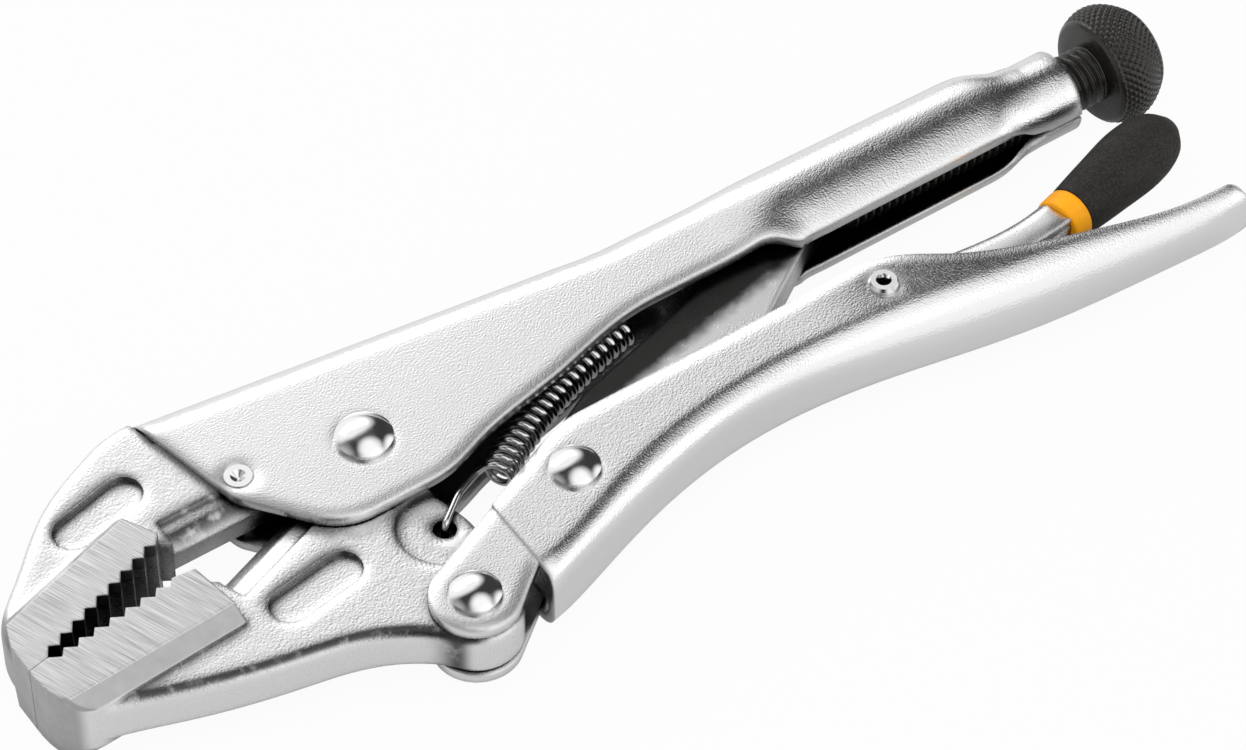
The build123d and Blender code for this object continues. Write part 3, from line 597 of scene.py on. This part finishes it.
def spring_wire():
    """Bright drawn wire with painted shade between its turns."""
    material, tree, shader, place = new_material("spring_wire", Metallic=1.0)
    skin = use_group(
        tree, PEBBLED, Place=place, Pebbles_per_metre=5000.0, Swell_per_metre=900.0, Swell_share=0.6
    )
    wear_and_shade = use_group(tree, WEAR_AND_SHADE, Edge_reach=0.0002, Corner_reach=0.003)
    base = blend_colour(tree, skin["Mottle"], grey(0.6), (0.74, 0.735, 0.73, 1.0))
    # Painted shade: the corner mask darkens the wire where the turns hem each other in
    colour = blend_colour(tree, wear_and_shade["Corner"], base, grey(0.03))
    roughness = ramp(tree, skin["Mottle"], 0.3, 0.7, 0.1, 0.17)
    dress(tree, shader, colour, roughness, relief(tree, skin["Height"], 0.1, 0.00002))
    return material


def dipped_vinyl(name, dark, light, rough, grain, strength):
    """Dipped vinyl: a fine orange-peel skin, a little lighter on its crests."""
    material, tree, shader, place = new_material(name, IOR=1.5, Specular_IOR_Level=0.4)
    skin = use_group(
        tree, PEBBLED, Place=place, Pebbles_per_metre=grain, Swell_per_metre=260.0, Swell_share=0.4
    )
    crest = ramp(tree, skin["Height"], 0.55, 1.25)
    colour = blend_colour(tree, crest, (*dark, 1.0), (*light, 1.0))
    roughness = ramp(tree, skin["Mottle"], 0.3, 0.7, rough - 0.06, rough + 0.08)
    dress(tree, shader, colour, roughness, relief(tree, skin["Height"], strength, 0.00012))
    return material


PLATED = plated_sheet("plated_sheet", (0.79, 0.79, 0.79), 0.19, 3000.0, 0.00006)
PLATED_TROUGH = plated_sheet("plated_trough", (0.79, 0.79, 0.79), 0.19, 3000.0, 0.00006, flared_tail)
PLATED_LEVER = plated_sheet("plated_lever", (0.82, 0.82, 0.82), 0.2, 4200.0, 0.000015)
FORGED_JAW = forged_jaw()
FORGED_LINK = forged_link()
RIVET = polished_rivet()
OXIDE = black_oxide()
WIRE = spring_wire()
BLACK_DIP = dipped_vinyl(
    "black_dip", (0.0125, 0.0108, 0.0088), (0.037, 0.0318, 0.0255), 0.72, 2100.0, 0.5
)
ORANGE_DIP = dipped_vinyl("orange_dip", (0.97, 0.385, 0.0015), (1.0, 0.42, 0.003), 0.6, 900.0, 0.12)

FINISHES = {
    "fixed_handle": PLATED,
    "moving_handle": PLATED_TROUGH,
    "upper_jaw": FORGED_JAW,
    "lower_jaw": FORGED_JAW,
    "jaw_pivot_rivet": RIVET,
    "handle_rivet": RIVET,
    "toggle_rivet": RIVET,
    "release_pin": RIVET,
    "upper_jaw_pin": RIVET,
    "toggle_link": FORGED_LINK,
    "release_lever": PLATED_LEVER,
}


# Mesh helpers


def mesh_object(name, vertices, faces, material, smooth=True):
    mesh = bpy.data.meshes.new(name)
    mesh.from_pydata([tuple(point) for point in vertices], [], faces)
    mesh.materials.append(material)
    shape = bmesh.new()
    shape.from_mesh(mesh)
    bmesh.ops.remove_doubles(shape, verts=shape.verts, dist=1e-7)
    bmesh.ops.recalc_face_normals(shape, faces=shape.faces)
    shape.to_mesh(mesh)
    shape.free()
    if smooth:
        mesh.shade_smooth()
    piece = bpy.data.objects.new(name, mesh)
    bpy.context.scene.collection.objects.link(piece)
    return piece


def ring_skin(rings):
    """Faces between rings of equal count, with the first and last ring closed."""
    count = len(rings[0])
    faces = []
    for row in range(len(rings) - 1):
        for step in range(count):
            nxt = (step + 1) % count
            low, high = row * count, (row + 1) * count
            faces.append((low + step, low + nxt, high + nxt, high + step))
    last = (len(rings) - 1) * count
    faces.append(tuple(range(count))[::-1])
    faces.append(tuple(range(last, last + count)))
    return [point for ring in rings for point in ring], faces


def turned_blank(name, profile, around, material):
    """A turned piece on the screw's axis from (x, radius) pairs in millimetres."""
    rings = []
    for x, radius in profile:
        ring = []
        for step in range(around):
            angle = 2 * math.pi * step / around
            ring.append(at((x, SCREW_Y + radius * math.cos(angle), radius * math.sin(angle))))
        rings.append(ring)
    vertices, faces = ring_skin(rings)
    return mesh_object(name, vertices, faces, material)


def even(start, end, step):
    """Even stations from start to end, both in."""
    count = max(1, round(abs(end - start) / step))
    return [start + (end - start) * k / count for k in range(count + 1)]


def cubic(t, start, end, leave, arrive):
    """From start to end as t goes from 0 to 1, with the given slopes at both."""
    rising = 3 * t**2 - 2 * t**3
    pulls = (t**3 - 2 * t**2 + t) * leave + (t**3 - t**2) * arrive
    return (1 - rising) * start + rising * end + pulls


def bake_nodes(piece, tree, **values):
    """Runs a Geometry Nodes tree on a piece and keeps its result as a plain mesh."""
    modifier = piece.modifiers.new(tree.name, "NODES")
    modifier.node_group = tree
    for item in tree.interface.items_tree:
        name = item.name.replace(" ", "_")
        if item.item_type == "SOCKET" and item.in_out == "INPUT" and name in values:
            modifier[item.identifier] = values[name]
    graph = bpy.context.evaluated_depsgraph_get()
    result = bpy.data.meshes.new_from_object(piece.evaluated_get(graph))
    if piece.type == "MESH":
        piece.modifiers.remove(modifier)
        piece.data = result
        made = piece
    else:
        name = piece.name
        piece.name = name + "_path"
        made = bpy.data.objects.new(name, result)
        bpy.context.scene.collection.objects.link(made)
        bpy.data.objects.remove(piece)
    made.data.materials.clear()
    made.data.materials.append(values["Material"])
    return made


# Geometry Nodes trees


def relief_tree(name, inputs):
    """A tree that moves a turned blank's skin in and out; gives along, turns and the rest."""
    tree, given, out = new_tree(
        name,
        "GeometryNodeTree",
        [
            ("Geometry", "NodeSocketGeometry", None),
            ("Axis", "NodeSocketVector", None),
            ("From", "NodeSocketFloat", 0.0),
            ("To", "NodeSocketFloat", 0.01),
            ("Inner radius", "NodeSocketFloat", 0.0),
            ("Depth", "NodeSocketFloat", 0.0003),
            ("Run out", "NodeSocketFloat", 0.0004),
            *inputs,
            ("Material", "NodeSocketMaterial", None),
        ],
        [("Geometry", "NodeSocketGeometry")],
    )
    position = put(tree, "GeometryNodeInputPosition").outputs[0]
    offset = separate(tree, vector_node(tree, "SUBTRACT", position, given["Axis"]))
    along = offset["X"]
    angle = math_node(tree, "ARCTAN2", offset["Z"], offset["Y"])
    turns = math_node(tree, "DIVIDE", angle, 2 * math.pi)
    flat = put(tree, "ShaderNodeCombineXYZ")
    feed(tree, flat.inputs[1], offset["Y"])
    feed(tree, flat.inputs[2], offset["Z"])
    radius = vector_node(tree, "LENGTH", flat.outputs[0])
    outward = vector_node(tree, "NORMALIZE", flat.outputs[0])
    enter = ramp(tree, math_node(tree, "SUBTRACT", along, given["From"]), 0.0, given["Run out"])
    leave = ramp(tree, math_node(tree, "SUBTRACT", given["To"], along), 0.0, given["Run out"])
    outside = math_node(tree, "GREATER_THAN", radius, given["Inner radius"])
    within = product(tree, enter, leave, outside)

    def close(cut):
        """Finishes the tree with a cut from 0 to 1 times the depth."""
        inward = product(tree, cut, within, given["Depth"], -1.0)
        move = put(tree, "GeometryNodeSetPosition")
        feed(tree, move.inputs["Geometry"], given["Geometry"])
        feed(tree, move.inputs["Offset"], scaled(tree, outward, inward))
        finish = put(tree, "GeometryNodeSetMaterial")
        feed(tree, finish.inputs["Geometry"], move.outputs[0])
        feed(tree, finish.inputs["Material"], given["Material"])
        whole = put(tree, "GeometryNodeRealizeInstances")
        feed(tree, whole.inputs[0], finish.outputs[0])
        feed(tree, out["Geometry"], whole.outputs[0])
        return tree

    return tree, given, along, turns, close


def knurl_tree():
    """Diamond knurl: two sets of crossing grooves round a turned rim."""
    tree, given, along, turns, close = relief_tree(
        "diamond_knurl",
        [("Starts", "NodeSocketFloat", 60.0), ("Grooves per metre", "NodeSocketFloat", 900.0)],
    )
    round_part = math_node(tree, "MULTIPLY", turns, given["Starts"])
    along_part = math_node(tree, "MULTIPLY", along, given["Grooves per metre"])
    waves = []
    for operation in ("ADD", "SUBTRACT"):
        phase = math_node(tree, operation, round_part, along_part)
        waves.append(math_node(tree, "PINGPONG", phase, 0.5))
    crest = math_node(tree, "MULTIPLY", math_node(tree, "MINIMUM", *waves), 2.0)
    flat_top = ramp(tree, crest, 0.0, 0.72, 1.0, 0.0, smooth=False)
    return close(flat_top)


def thread_tree():
    """Single start thread with flat crests and roots."""
    tree, given, along, turns, close = relief_tree(
        "screw_thread", [("Pitch", "NodeSocketFloat", THREAD_PITCH * MM)]
    )
    phase = math_node(tree, "SUBTRACT", math_node(tree, "DIVIDE", along, given["Pitch"]), turns)
    crest = math_node(tree, "MULTIPLY", math_node(tree, "PINGPONG", phase, 0.5), 2.0)
    return close(ramp(tree, crest, 0.14, 0.86, smooth=False))


def wire_tree():
    """Round wire along a curve."""
    tree, given, out = new_tree(
        "round_wire",
        "GeometryNodeTree",
        [
            ("Geometry", "NodeSocketGeometry", None),
            ("Radius", "NodeSocketFloat", 0.0005),
            ("Sides", "NodeSocketInt", 12),
            ("Material", "NodeSocketMaterial", None),
        ],
        [("Geometry", "NodeSocketGeometry")],
    )
    section = put(tree, "GeometryNodeCurvePrimitiveCircle")
    feed(tree, section.inputs["Radius"], given["Radius"])
    feed(tree, section.inputs["Resolution"], given["Sides"])
    sweep = put(tree, "GeometryNodeCurveToMesh")
    feed(tree, sweep.inputs["Curve"], given["Geometry"])
    feed(tree, sweep.inputs["Profile Curve"], section.outputs[0])
    sweep.inputs["Fill Caps"].default_value = True
    shade = put(tree, "GeometryNodeSetShadeSmooth")
    feed(tree, shade.inputs[0], sweep.outputs[0])
    whole = put(tree, "GeometryNodeRealizeInstances")
    feed(tree, whole.inputs[0], shade.outputs[0])
    finish = put(tree, "GeometryNodeSetMaterial")
    feed(tree, finish.inputs["Geometry"], whole.outputs[0])
    feed(tree, finish.inputs["Material"], given["Material"])
    feed(tree, out["Geometry"], finish.outputs[0])
    return tree


# Adjusting screw and knob


def make_screw():
    tip, chamfer = SCREW_TIP_X, SCREW_TIP_CHAMFER
    rise = [(tip + share * chamfer, SCREW_R - (1 - share) * chamfer) for share in (0, 0.5)]
    stations = even(tip + chamfer, SCREW_SHOULDER_X, THREAD_PITCH / THREAD_STEPS)
    shank = [(x, SCREW_R) for x in stations]
    spigot = [(SCREW_SHOULDER_X, SPIGOT_R), (SPIGOT_END_X, SPIGOT_R)]
    profile = [(tip, SCREW_TIP_INNER_R), *rise, *shank, *spigot]
    return bake_nodes(
        turned_blank("threaded_screw", profile, SCREW_SIDES, OXIDE),
        thread_tree(),
        Axis=tuple(at((0, SCREW_Y, 0))),
        From=tip * MM,
        To=SCREW_SHOULDER_X * MM,
        Inner_radius=THREAD_INNER_R * MM,
        Depth=THREAD_DEPTH * MM,
        Run_out=THREAD_RUN_OUT * MM,
        Pitch=THREAD_PITCH * MM,
        Material=OXIDE,
    )


def knob_rim():
    """The barrel's (x, radius) pairs between its two edges."""
    rim = []
    for (x0, r0, slope0), (x1, r1, slope1) in zip(KNOB_RIM, KNOB_RIM[1:]):
        span = x1 - x0
        for x in even(x0, x1, KNOB_RIM_STEP)[bool(rim):]:
            rim.append((x, cubic((x - x0) / span, r0, r1, slope0 * span, slope1 * span)))
    return rim


def make_knob():
    rim = knob_rim()
    (rim_from, front_r), (rim_to, rear_r) = rim[0], rim[-1]
    front_r, rear_r = front_r - KNOB_CHAMFER, rear_r - KNOB_CHAMFER
    front = [(KNOB_FRONT_X, radius) for radius in KNOB_FRONT_RADII]
    front += [(KNOB_FRONT_X + back, front_r + out) for back, out in KNOB_FRONT_EDGE]
    rear = [(KNOB_REAR_X - back, rear_r + out) for back, out in KNOB_REAR_EDGE]
    rear += [(KNOB_REAR_X, radius) for radius in KNOB_REAR_RADII]
    return bake_nodes(
        turned_blank("knurled_knob", [*front, *rim, *rear], KNURL_STARTS * KNURL_SIDES, OXIDE),
        knurl_tree(),
        Axis=tuple(at((0, SCREW_Y, 0))),
        From=(rim_from - KNURL_REACH) * MM,
        To=(rim_to + KNURL_REACH) * MM,
        Inner_radius=KNURL_INNER_R * MM,
        Depth=KNURL_DEPTH * MM,
        Run_out=KNURL_RUN_OUT * MM,
        Starts=float(KNURL_STARTS),
        Grooves_per_metre=KNURL_STARTS / (2 * math.pi * KNOB_R * MM),
        Material=OXIDE,
    )


# Return spring


def coil_heading(turn):
    return COIL_START_ANGLE - math.degrees(COIL_PITCH * turn / COIL_BOW_R)


def coil_point(turn):
    """Point of the wire's middle line, counted in turns from the front."""
    side = left_of(direction(coil_heading(turn)))
    centre = COIL_START + (side - left_of(direction(COIL_START_ANGLE))) * COIL_BOW_R
    angle = math.radians(COIL_FIRST - 360 * turn)
    return centre + side * (COIL_R * math.sin(angle)) + Vector((0, 0, COIL_R * math.cos(angle)))


def bent(points, bend):
    """The same line with each inner corner bent round."""
    line = [points[0]]
    for before, corner, after in zip(points, points[1:], points[2:]):
        enter = corner + (before - corner).normalized() * min(bend, (before - corner).length * 0.48)
        leave = corner + (after - corner).normalized() * min(bend, (after - corner).length * 0.48)
        for share in HOOK_BEND_SHARES:
            line.append(enter.lerp(corner, share).lerp(corner.lerp(leave, share), share))
    return [*line, points[-1]]


def spring_line():
    """The wire's middle line: front hook, coil and rear hook."""
    turns = COIL_LOOPS - (COIL_LAST - COIL_FIRST) / 360
    steps = round(turns * COIL_STEPS)
    coil = [coil_point(turns * step / steps) for step in range(steps + 1)]
    first_pull = (coil[1] - coil[0]).normalized()
    last_pull = (coil[-1] - coil[-2]).normalized()
    leg_start = SPRING_HOLE + Vector((0, 0, HOOK_SEAT_Z))
    leg_end = coil[0] - first_pull * HOOK_REACH
    leg_level = leg_start.lerp(Vector((leg_end.x, leg_end.y, leg_start.z)), HOOK_LEVEL)
    hook_end = SPRING_HOLE - Vector((0, 0, HOOK_DEPTH))
    front = bent([hook_end, leg_start, leg_level, leg_end, coil[0]], HOOK_BEND)
    along = direction(coil_heading(turns))
    rise_end = coil[-1] + last_pull * (TONGUE_HALF + WIRE_R + HOOK_GAP)
    tail = rise_end + along * ((TONGUE_X + WIRE_R + HOOK_GAP - rise_end.x) / along.x)
    rear = bent([coil[-1], rise_end, tail, tail - Vector((0, 0, 2 * rise_end.z))], HOOK_BEND)
    return [*front[:-1], *coil, *rear[1:]]


def make_spring():
    curve = bpy.data.curves.new("wound_spring", "CURVE")
    curve.dimensions = "3D"
    points = spring_line()
    spline = curve.splines.new("POLY")
    spline.points.add(len(points) - 1)
    for place, point in zip(spline.points, points):
        place.co = (*at(point), 1.0)
    path = bpy.data.objects.new("wound_spring", curve)
    bpy.context.scene.collection.objects.link(path)
    return bake_nodes(path, wire_tree(), Radius=WIRE_R * MM, Sides=WIRE_SIDES, Material=WIRE)


# Dipped band and grip on the release lever


def grip_size(share):
    """Half height and half thickness of the grip, smooth between its sections."""
    shares = [section[0] for section in GRIP_SECTIONS]
    row = max(k for k in range(len(shares) - 1) if shares[k] <= share)
    start, end = GRIP_SECTIONS[row], GRIP_SECTIONS[row + 1]
    before = GRIP_SECTIONS[max(row - 1, 0)]
    after = GRIP_SECTIONS[min(row + 2, len(shares) - 1)]
    span = end[0] - start[0]
    t = (share - start[0]) / span
    sizes = []
    for k in (1, 2):
        pull_in = (end[k] - before[k]) / (end[0] - before[0]) * span
        pull_out = (after[k] - start[k]) / (after[0] - start[0]) * span
        sizes.append(cubic(t, start[k], end[k], pull_in, pull_out))
    return sizes


def grip_ring(distance, half_height, half_thickness):
    heading = direction(GRIP_ANGLE)
    centre, up = GRIP_START + heading * distance, left_of(heading)
    ring = []
    for step in range(GRIP_SIDES):
        angle = 2 * math.pi * step / GRIP_SIDES
        rise, side = half_height * math.cos(angle), half_thickness * math.sin(angle)
        ring.append(at(centre + up * rise + Vector((0, 0, side))))
    return ring


def make_grip():
    """Dipped paddle with a thick rolled lip and a domed end."""
    rings = []
    start_h, start_t = GRIP_SECTIONS[0][1:]
    for turn in (0.0, 0.25, 0.5, 0.75, 1.0):
        angle = turn * math.pi / 2
        inset = GRIP_LIP_R * (1 - math.sin(angle))
        reach = BAND_WIDTH + GRIP_LIP_R * (1 - math.cos(angle))
        rings.append(grip_ring(reach, start_h - inset, start_t - inset))
    for share in even(GRIP_RING_SHARE, GRIP_DOME_FROM, GRIP_RING_SHARE):
        rings.append(grip_ring(BAND_WIDTH + share * GRIP_LENGTH, *grip_size(share)))
    end_h, end_t = grip_size(GRIP_DOME_FROM)
    for turn in (0.3, 0.6, 0.85, 0.97):
        angle = turn * math.pi / 2
        share = GRIP_DOME_FROM + (1 - GRIP_DOME_FROM) * math.sin(angle)
        reach = BAND_WIDTH + share * GRIP_LENGTH
        rings.append(grip_ring(reach, end_h * math.cos(angle), end_t * math.cos(angle)))
    vertices, faces = ring_skin(rings)
    return mesh_object("dipped_grip", vertices, faces, BLACK_DIP)


def make_band():
    """Dipped ring, thinner at its front edge."""
    half_h, half_t = GRIP_SECTIONS[0][1:]
    rings = [grip_ring(reach, half_h - inset, half_t - inset) for reach, inset in BAND_PROFILE]
    vertices, faces = ring_skin(rings)
    return mesh_object("dipped_band", vertices, faces, ORANGE_DIP)


# Stage


def make_floor():
    """Pale floor that keeps the shadow; white to the camera, and whiter in metal towards its far side."""
    material, tree, shader, place = new_material(
        "white_table", Base_Color=grey(FLOOR_SHADE), Roughness=0.9, Specular_IOR_Level=0.0
    )
    glow = put(tree, "ShaderNodeEmission")
    glow.inputs["Strength"].default_value = 1.0
    rays = put(tree, "ShaderNodeLightPath").outputs
    share = ramp(tree, separate(tree, place)["Y"], *FLOOR_MIRROR_Y, *FLOOR_MIRROR_SHARES)
    bounced = math_node(tree, "MAXIMUM", rays["Is Glossy Ray"], rays["Is Transmission Ray"])
    direct = math_node(tree, "MULTIPLY", rays["Is Camera Ray"], FLOOR_SEEN)
    both = put(tree, "ShaderNodeMixShader")
    feed(tree, both.inputs[0], math_node(tree, "MAXIMUM", direct, product(tree, bounced, share)))
    feed(tree, both.inputs[1], shader.outputs[0])
    feed(tree, both.inputs[2], glow.outputs[0])
    feed(tree, tree.nodes["Material Output"].inputs["Surface"], both.outputs[0])
    corners = [Vector((x, y, 0)) * FLOOR_HALF for x, y in ((-1, -1), (1, -1), (1, 1), (-1, 1))]
    floor = mesh_object("floor", corners, [(0, 1, 2, 3)], material, smooth=False)


def make_world():
    """White to the camera; to the part, glows from the far side, above, the front, right and left."""
    world = bpy.data.worlds.new("studio")
    bpy.context.scene.world = world
    world.use_nodes = True
    tree = world.node_tree
    heading = put(tree, "ShaderNodeTexCoord").outputs["Generated"]
    level = STUDIO_DIM
    for toward, start, full, strength in STUDIO_GLOWS:
        facing = vector_node(tree, "DOT_PRODUCT", heading, tuple(Vector(toward).normalized()))
        level = math_node(tree, "ADD", level, ramp(tree, facing, start, full, 0.0, strength))
    shade = put(tree, "ShaderNodeCombineColor")
    for socket in shade.inputs:
        feed(tree, socket, level)
    rays = put(tree, "ShaderNodeLightPath")
    colour = blend_colour(tree, rays.outputs["Is Camera Ray"], shade.outputs[0], WHITE)
    feed(tree, tree.nodes["Background"].inputs["Color"], colour)


def hang(name, data, place, aim):
    """A lamp or camera at a place, turned to look at its aim."""
    holder = bpy.data.objects.new(name, data)
    holder.location = place
    holder.rotation_mode = "QUATERNION"
    holder.rotation_quaternion = (aim - place).to_track_quat("-Z", "Y")
    bpy.context.scene.collection.objects.link(holder)
    return holder


def make_lamp(name, place, width, height, power, mirrored):
    lamp = bpy.data.lights.new(name, "AREA")
    lamp.shape = "RECTANGLE"
    lamp.size, lamp.size_y, lamp.energy = width, height, power
    hang(name, lamp, Vector(place), Vector((0, 0, 0))).visible_glossy = mirrored


def make_camera():
    lens = bpy.data.cameras.new("photo_camera")
    lens.sensor_width, lens.lens = CAMERA_SENSOR, CAMERA_LENS
    lens.clip_start, lens.clip_end = 0.01, 20.0
    bpy.context.scene.camera = hang("photo_camera", lens, at(CAMERA_PLACE), at(CAMERA_AIM))


for node_name, finish in FINISHES.items():
    nodes[node_name].data.materials.clear()
    nodes[node_name].data.materials.append(finish)

for maker, body, node_name, slot_name in (
    (make_screw, "adjusting_screw", "adjusting_screw", "black_oxide"),
    (make_knob, "screw_knob", "screw_knob", "black_oxide"),
    (make_grip, "release_lever", "release_grip", "black_dip"),
    (make_band, "release_lever", "release_band", "orange_dip"),
):
    made = maker()
    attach(made, body)
    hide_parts(node_name)

spring = make_spring()
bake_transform(spring)
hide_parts("return_spring")

make_floor()
make_world()
for lamp_row in LAMPS:
    make_lamp(*lamp_row)
make_camera()
bpy.context.scene.view_settings.view_transform = "Standard"
